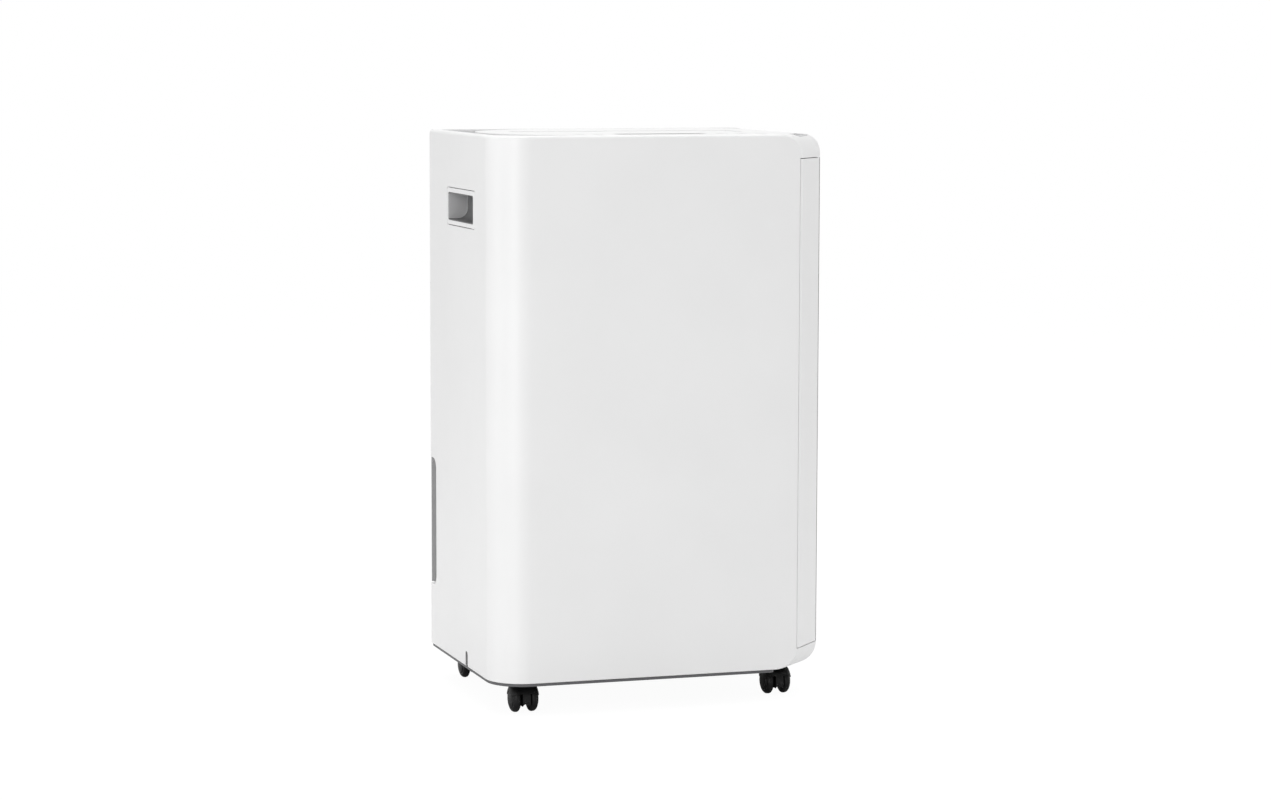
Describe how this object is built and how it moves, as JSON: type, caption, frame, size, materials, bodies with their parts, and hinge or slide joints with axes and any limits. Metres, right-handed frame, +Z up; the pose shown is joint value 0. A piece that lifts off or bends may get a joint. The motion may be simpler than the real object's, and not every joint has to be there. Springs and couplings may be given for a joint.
{
  "type": "dehumidifier",
  "caption": "Tall white compressor dehumidifier cabinet on twin-wheel casters, with side hand holds, a top outlet flap and a rear water tank.",
  "frame": {"origin": "on the floor, under the middle of the machine's overall box", "axes": "+Z up, -Y is the plain front, +X is the chamfered right side"},
  "size_m": [0.376, 0.275, 0.613],
  "materials": {
    "white_shell": "satin moulded, fine texture",
    "grey_plastic": "satin moulded",
    "dark_grey_plastic": "matt moulded",
    "black_plastic": "matt",
    "caster_black": "satin nylon",
    "tank_clear": "smoky translucent plastic",
    "display_glass": "gloss",
    "axle_steel": "brushed",
    "coil_aluminium": "fine fins, bare",
    "copper_line": "bare copper, slightly dull",
    "galvanised_sheet": "zinc coated sheet",
    "compressor_black": "gloss black enamel",
    "circuit_board": "green solder mask"
  },
  "bodies": {
    "cabinet": {"main_shell": "white_shell", "right_side_panel": "white_shell", "top_panel": "white_shell", "rear_cover": "white_shell", "left_handle_cup": "grey_plastic", "right_handle_cup": "grey_plastic", "top_surround": "grey_plastic", "base_pan": "dark_grey_plastic", "outlet_grille": "dark_grey_plastic", "fan_scroll": "dark_grey_plastic", "fan_inlet_plate": "dark_grey_plastic", "drip_tray": "dark_grey_plastic", "electrical_box": "dark_grey_plastic", "cord_inlet": "black_plastic", "humidity_sensor": "black_plastic", "float_switch": "black_plastic", "display_lens": "display_glass", "fan_motor": "axle_steel", "condenser": "coil_aluminium", "evaporator": "coil_aluminium", "run_capacitor": "coil_aluminium", "discharge_pipe": "copper_line", "suction_pipe": "copper_line", "capillary_tube": "copper_line", "chassis": "galvanised_sheet", "compressor": "compressor_black", "control_board": "circuit_board"},
    "flap": {"outlet_flap": "white_shell"},
    "power_key": {"button_power": "grey_plastic"},
    "mode_key": {"button_mode": "grey_plastic"},
    "fan_key": {"button_fan": "grey_plastic"},
    "down_key": {"button_down": "grey_plastic"},
    "up_key": {"button_up": "grey_plastic"},
    "filter_unit": {"intake_grille": "white_shell", "air_filter": "dark_grey_plastic"},
    "drain_plug": {"drain_cap": "black_plastic"},
    "tank": {"tank_front": "white_shell", "tank_window": "tank_clear", "water_tank": "tank_clear", "tank_lid": "grey_plastic"},
    "bail": {"tank_handle": "grey_plastic"},
    "float": {"tank_float": "white_shell"},
    "fan_rotor": {"blower_wheel": "black_plastic", "motor_shaft": "axle_steel"},
    "caster_front_left": {"caster_front_left_hood": "caster_black", "caster_front_left_axle": "axle_steel"},
    "wheel_front_left_left": {"caster_front_left_wheel_left": "caster_black"},
    "wheel_front_left_right": {"caster_front_left_wheel_right": "caster_black"},
    "caster_front_right": {"caster_front_right_hood": "caster_black", "caster_front_right_axle": "axle_steel"},
    "wheel_front_right_left": {"caster_front_right_wheel_left": "caster_black"},
    "wheel_front_right_right": {"caster_front_right_wheel_right": "caster_black"},
    "caster_rear_left": {"caster_rear_left_hood": "caster_black", "caster_rear_left_axle": "axle_steel"},
    "wheel_rear_left_left": {"caster_rear_left_wheel_left": "caster_black"},
    "wheel_rear_left_right": {"caster_rear_left_wheel_right": "caster_black"},
    "caster_rear_right": {"caster_rear_right_hood": "caster_black", "caster_rear_right_axle": "axle_steel"},
    "wheel_rear_right_left": {"caster_rear_right_wheel_left": "caster_black"},
    "wheel_rear_right_right": {"caster_rear_right_wheel_right": "caster_black"}
  },
  "joints": [
    {"name": "flap_hinge", "type": "hinge", "parent": "cabinet", "child": "flap", "pos_m": [-0.0015, 0.0265, 0.6102], "axis": [-1, 0, 0], "range_deg": [0, 75]},
    {"name": "power_press", "type": "slide", "parent": "cabinet", "child": "power_key", "axis": [0, 0, -1], "range_m": [0, 0.0012], "stiffness_N_per_m": 500, "springref_m": -0.0005},
    {"name": "mode_press", "type": "slide", "parent": "cabinet", "child": "mode_key", "axis": [0, 0, -1], "range_m": [0, 0.0012], "stiffness_N_per_m": 500, "springref_m": -0.0005},
    {"name": "fan_press", "type": "slide", "parent": "cabinet", "child": "fan_key", "axis": [0, 0, -1], "range_m": [0, 0.0012], "stiffness_N_per_m": 500, "springref_m": -0.0005},
    {"name": "down_press", "type": "slide", "parent": "cabinet", "child": "down_key", "axis": [0, 0, -1], "range_m": [0, 0.0012], "stiffness_N_per_m": 500, "springref_m": -0.0005},
    {"name": "up_press", "type": "slide", "parent": "cabinet", "child": "up_key", "axis": [0, 0, -1], "range_m": [0, 0.0012], "stiffness_N_per_m": 500, "springref_m": -0.0005},
    {"name": "filter_pull", "type": "slide", "parent": "cabinet", "child": "filter_unit", "axis": [0, 1, 0], "range_m": [0, 0.08]},
    {"name": "drain_cap_pull", "type": "slide", "parent": "cabinet", "child": "drain_plug", "axis": [0, 1, 0], "range_m": [0, 0.03]},
    {"name": "tank_slide", "type": "slide", "parent": "cabinet", "child": "tank", "axis": [0, 1, 0], "range_m": [0, 0.15]},
    {"name": "tank_handle_hinge", "type": "hinge", "parent": "tank", "child": "bail", "pos_m": [-0.002, 0.0745, 0.216], "axis": [-1, 0, 0], "range_deg": [0, 90]},
    {"name": "float_pivot", "type": "hinge", "parent": "tank", "child": "float", "pos_m": [0.131, 0.0765, 0.193], "axis": [-1, 0, 0], "range_deg": [0, 13]},
    {"name": "fan_spin", "type": "hinge", "parent": "cabinet", "child": "fan_rotor", "pos_m": [-0.002, -0.0075, 0.42], "axis": [0, 1, 0], "continuous": true},
    {"name": "front_left_swivel", "type": "hinge", "parent": "cabinet", "child": "caster_front_left", "pos_m": [-0.14925, -0.0985, 0.035], "axis": [0, 0, 1], "continuous": true},
    {"name": "front_left_left_roll", "type": "hinge", "parent": "caster_front_left", "child": "wheel_front_left_left", "pos_m": [-0.14925, -0.1065, 0.0146], "axis": [1, 0, 0], "continuous": true},
    {"name": "front_left_right_roll", "type": "hinge", "parent": "caster_front_left", "child": "wheel_front_left_right", "pos_m": [-0.14925, -0.1065, 0.0146], "axis": [1, 0, 0], "continuous": true},
    {"name": "front_right_swivel", "type": "hinge", "parent": "cabinet", "child": "caster_front_right", "pos_m": [0.143, -0.0985, 0.035], "axis": [0, 0, 1], "continuous": true},
    {"name": "front_right_left_roll", "type": "hinge", "parent": "caster_front_right", "child": "wheel_front_right_left", "pos_m": [0.143, -0.0905, 0.0146], "axis": [1, 0, 0], "continuous": true},
    {"name": "front_right_right_roll", "type": "hinge", "parent": "caster_front_right", "child": "wheel_front_right_right", "pos_m": [0.143, -0.0905, 0.0146], "axis": [1, 0, 0], "continuous": true},
    {"name": "rear_left_swivel", "type": "hinge", "parent": "cabinet", "child": "caster_rear_left", "pos_m": [-0.14925, 0.0905, 0.035], "axis": [0, 0, 1], "continuous": true},
    {"name": "rear_left_left_roll", "type": "hinge", "parent": "caster_rear_left", "child": "wheel_rear_left_left", "pos_m": [-0.14925, 0.0985, 0.0146], "axis": [1, 0, 0], "continuous": true},
    {"name": "rear_left_right_roll", "type": "hinge", "parent": "caster_rear_left", "child": "wheel_rear_left_right", "pos_m": [-0.14925, 0.0985, 0.0146], "axis": [1, 0, 0], "continuous": true},
    {"name": "rear_right_swivel", "type": "hinge", "parent": "cabinet", "child": "caster_rear_right", "pos_m": [0.143, 0.0905, 0.035], "axis": [0, 0, 1], "continuous": true},
    {"name": "rear_right_left_roll", "type": "hinge", "parent": "caster_rear_right", "child": "wheel_rear_right_left", "pos_m": [0.143, 0.0985, 0.0146], "axis": [1, 0, 0], "continuous": true},
    {"name": "rear_right_right_roll", "type": "hinge", "parent": "caster_rear_right", "child": "wheel_rear_right_right", "pos_m": [0.143, 0.0985, 0.0146], "axis": [1, 0, 0], "continuous": true}
  ]
}
